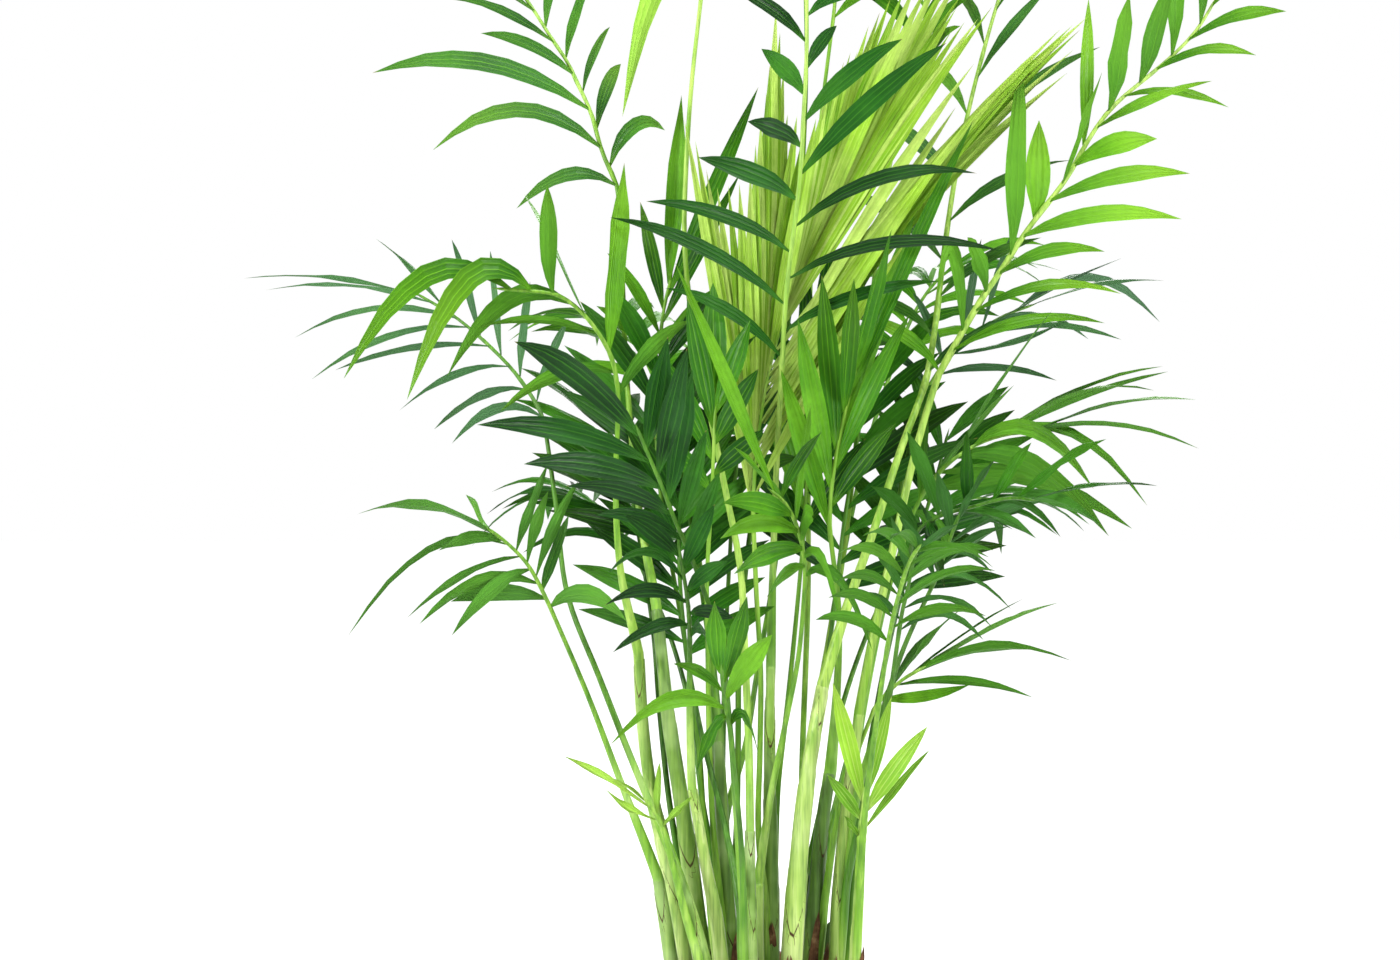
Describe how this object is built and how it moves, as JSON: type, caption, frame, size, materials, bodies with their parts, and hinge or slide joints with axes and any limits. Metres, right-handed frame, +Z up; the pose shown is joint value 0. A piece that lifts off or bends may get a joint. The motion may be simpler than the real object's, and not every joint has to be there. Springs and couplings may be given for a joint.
{
  "type": "potted palm",
  "caption": "Clump of slender green palm canes with long arching feather leaves, rising from dark soil in a plain round red-brown pot with a stepped rim.",
  "frame": {"origin": "middle of the pot's underside, on the flat disc that rests on the table", "axes": "+Z up, +X to the right seen from the plant's front, +Y to its back"},
  "size_m": [0.8031, 0.6173, 1.0883],
  "materials": {
    "pot_plastic": "satin moulded red-brown plastic",
    "potting_soil": "loose dark peat with bark crumbs",
    "cane_green": "smooth waxy green with dry brown sheath edges",
    "leaf_dark": "satin dark green, paler underneath",
    "leaf_mid": "satin green, paler underneath",
    "leaf_young": "satin yellow-green young blades"
  },
  "bodies": {
    "root": {"pot": "pot_plastic", "soil": "potting_soil", "cane_01": "cane_green", "cane_02": "cane_green", "cane_03": "cane_green", "cane_04": "cane_green", "cane_05": "cane_green", "cane_06": "cane_green", "cane_07": "cane_green", "cane_08": "cane_green", "cane_09": "cane_green", "cane_10": "cane_green", "cane_11": "cane_green", "cane_12": "cane_green", "cane_13": "cane_green", "cane_14": "cane_green", "cane_15": "cane_green", "cane_16": "cane_green", "cane_17": "cane_green", "cane_18": "cane_green", "leaf_centre": "leaf_dark", "leaf_right": "leaf_mid", "leaf_left_broad": "leaf_mid", "leaf_top_left": "leaf_mid", "leaf_front_left": "leaf_dark", "leaf_young_fan": "leaf_young", "leaf_tall_left": "leaf_young", "leaf_centre_blades": "leaf_mid", "leaf_centre_deep": "leaf_mid", "leaf_upright_left": "leaf_mid", "leaf_left_low": "leaf_mid", "leaf_far_left": "leaf_dark", "leaf_right_inner": "leaf_mid", "leaf_right_fine": "leaf_dark", "leaf_right_spray": "leaf_mid", "leaf_right_under": "leaf_dark", "leaf_right_slim": "leaf_dark", "leaf_right_wiry": "leaf_dark", "leaf_right_low": "leaf_mid", "leaf_hanging": "leaf_mid", "leaf_low_young": "leaf_young", "leaf_front_small": "leaf_mid", "leaf_left_under": "leaf_dark", "leaf_centre_broad": "leaf_mid", "leaf_low_left": "leaf_young", "leaf_left_shade": "leaf_dark", "leaf_mid_shade": "leaf_dark", "leaf_shade_left": "leaf_dark", "leaf_shade_low": "leaf_dark", "leaf_shade_mid": "leaf_dark", "leaf_shade_right": "leaf_dark", "leaf_back_left": "leaf_mid", "leaf_back_low_left": "leaf_dark", "leaf_back_right": "leaf_mid", "leaf_back_low_right": "leaf_dark", "leaf_back_centre": "leaf_dark", "leaf_back_tall": "leaf_mid", "leaf_top_right": "leaf_mid", "leaf_top_centre": "leaf_mid", "leaf_front_right": "leaf_mid"}
  },
  "joints": []
}
